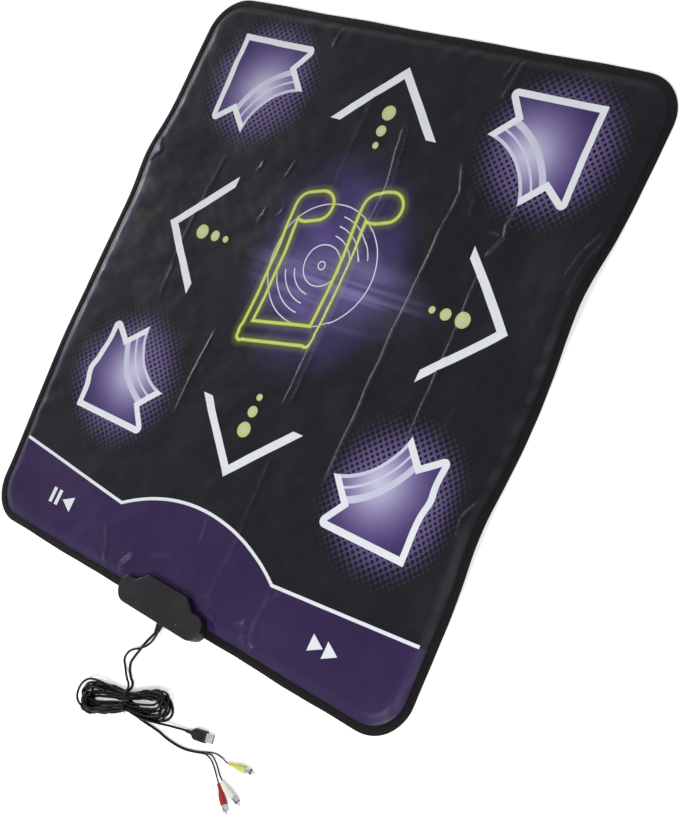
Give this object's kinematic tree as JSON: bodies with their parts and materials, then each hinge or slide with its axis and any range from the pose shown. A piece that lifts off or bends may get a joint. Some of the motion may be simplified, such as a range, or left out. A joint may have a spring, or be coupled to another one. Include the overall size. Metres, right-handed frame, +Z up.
{
  "type": "dance mat controller",
  "caption": "Soft square dance mat with sprung step pads, a plug-in control box at its front edge, a bundled USB cord and a bundled audio-video cord with coloured plugs.",
  "frame": {"origin": "on the floor, under the middle of the mat's outline", "axes": "+Z up, +Y from the player towards the control box, +X to the player's right"},
  "size_m": [0.84, 1.09, 0.0204],
  "materials": {
    "cover": "satin",
    "binding": "matte",
    "underside": "matte",
    "foam": "matte",
    "spacer": "matte",
    "film": "satin",
    "box_top": "matte",
    "box_bottom": "matte",
    "board": "satin",
    "chip": "matte",
    "pressure_strip": "matte",
    "screw": "satin",
    "switch_case": "satin",
    "switch_knob": "matte",
    "lamp": "gloss",
    "lamp_spacer": "matte",
    "boot": "matte",
    "wires": "satin",
    "cord": "satin",
    "tie": "matte",
    "usb_grip": "satin",
    "usb_shell": "satin",
    "usb_tongue": "matte",
    "yellow_grip": "satin",
    "red_grip": "satin",
    "white_grip": "satin",
    "plug_metal": "polished",
    "insulator": "matte"
  },
  "bodies": {
    "mat": {"top_cover": "cover", "edge_binding": "binding", "cushion_foam": "foam", "upper_contact_film": "film", "spacer_foam": "spacer", "lower_contact_film": "film", "bottom_sheet": "underside", "box_top_shell": "box_top", "box_bottom_shell": "box_bottom", "case_screw_1": "screw", "case_screw_2": "screw", "case_screw_3": "screw", "case_screw_4": "screw", "circuit_board": "board", "contact_pressure_strip": "pressure_strip", "control_chip": "chip", "power_light": "lamp", "light_spacer": "lamp_spacer", "switch_body": "switch_case", "cord_boot": "boot", "usb_board_wires": "wires", "av_board_wires": "wires", "usb_cord_lead": "cord", "av_cord_lead": "cord", "usb_cord_hank": "cord", "av_cord_hank": "cord", "hank_tie": "tie", "usb_cord_tail": "cord", "av_cord_tail": "cord", "yellow_branch_cord": "cord", "red_branch_cord": "cord", "white_branch_cord": "cord", "usb_plug_grip": "usb_grip", "usb_plug_shell": "usb_shell", "usb_plug_tongue": "usb_tongue", "yellow_plug_grip": "yellow_grip", "yellow_plug_ring": "plug_metal", "yellow_plug_insulator": "insulator", "yellow_plug_pin": "plug_metal", "red_plug_grip": "red_grip", "red_plug_ring": "plug_metal", "red_plug_insulator": "insulator", "red_plug_pin": "plug_metal", "white_plug_grip": "white_grip", "white_plug_ring": "plug_metal", "white_plug_insulator": "insulator", "white_plug_pin": "plug_metal"},
    "up_pad": {"step_pad_up": "foam"},
    "down_pad": {"step_pad_down": "foam"},
    "left_pad": {"step_pad_left": "foam"},
    "right_pad": {"step_pad_right": "foam"},
    "up_left_pad": {"step_pad_up_left": "foam"},
    "up_right_pad": {"step_pad_up_right": "foam"},
    "down_left_pad": {"step_pad_down_left": "foam"},
    "down_right_pad": {"step_pad_down_right": "foam"},
    "start_pad": {"step_pad_start": "foam"},
    "back_pad": {"step_pad_back": "foam"},
    "mode_switch": {"switch_knob": "switch_knob"}
  },
  "joints": [
    {"name": "press_up", "type": "slide", "parent": "mat", "child": "up_pad", "axis": [0, 0, -1], "range_m": [0, 0.002], "stiffness_N_per_m": 4000, "springref_m": -0.001, "deforming": ["top_cover", "upper_contact_film"]},
    {"name": "press_down", "type": "slide", "parent": "mat", "child": "down_pad", "axis": [0, 0, -1], "range_m": [0, 0.002], "stiffness_N_per_m": 4000, "springref_m": -0.001, "deforming": ["top_cover", "upper_contact_film"]},
    {"name": "press_left", "type": "slide", "parent": "mat", "child": "left_pad", "axis": [0, 0, -1], "range_m": [0, 0.002], "stiffness_N_per_m": 4000, "springref_m": -0.001, "deforming": ["top_cover", "upper_contact_film"]},
    {"name": "press_right", "type": "slide", "parent": "mat", "child": "right_pad", "axis": [0, 0, -1], "range_m": [0, 0.002], "stiffness_N_per_m": 4000, "springref_m": -0.001, "deforming": ["top_cover", "upper_contact_film"]},
    {"name": "press_up_left", "type": "slide", "parent": "mat", "child": "up_left_pad", "axis": [0, 0, -1], "range_m": [0, 0.002], "stiffness_N_per_m": 4000, "springref_m": -0.001, "deforming": ["top_cover", "upper_contact_film"]},
    {"name": "press_up_right", "type": "slide", "parent": "mat", "child": "up_right_pad", "axis": [0, 0, -1], "range_m": [0, 0.002], "stiffness_N_per_m": 4000, "springref_m": -0.001, "deforming": ["top_cover", "upper_contact_film"]},
    {"name": "press_down_left", "type": "slide", "parent": "mat", "child": "down_left_pad", "axis": [0, 0, -1], "range_m": [0, 0.002], "stiffness_N_per_m": 4000, "springref_m": -0.001, "deforming": ["top_cover", "upper_contact_film"]},
    {"name": "press_down_right", "type": "slide", "parent": "mat", "child": "down_right_pad", "axis": [0, 0, -1], "range_m": [0, 0.002], "stiffness_N_per_m": 4000, "springref_m": -0.001, "deforming": ["top_cover", "upper_contact_film"]},
    {"name": "press_start", "type": "slide", "parent": "mat", "child": "start_pad", "axis": [0, 0, -1], "range_m": [0, 0.002], "stiffness_N_per_m": 4000, "springref_m": -0.001, "deforming": ["top_cover", "upper_contact_film"]},
    {"name": "press_back", "type": "slide", "parent": "mat", "child": "back_pad", "axis": [0, 0, -1], "range_m": [0, 0.002], "stiffness_N_per_m": 4000, "springref_m": -0.001, "deforming": ["top_cover", "upper_contact_film"]},
    {"name": "switch_slide", "type": "slide", "parent": "mat", "child": "mode_switch", "axis": [1, 0, 0], "range_m": [0, 0.002]}
  ]
}
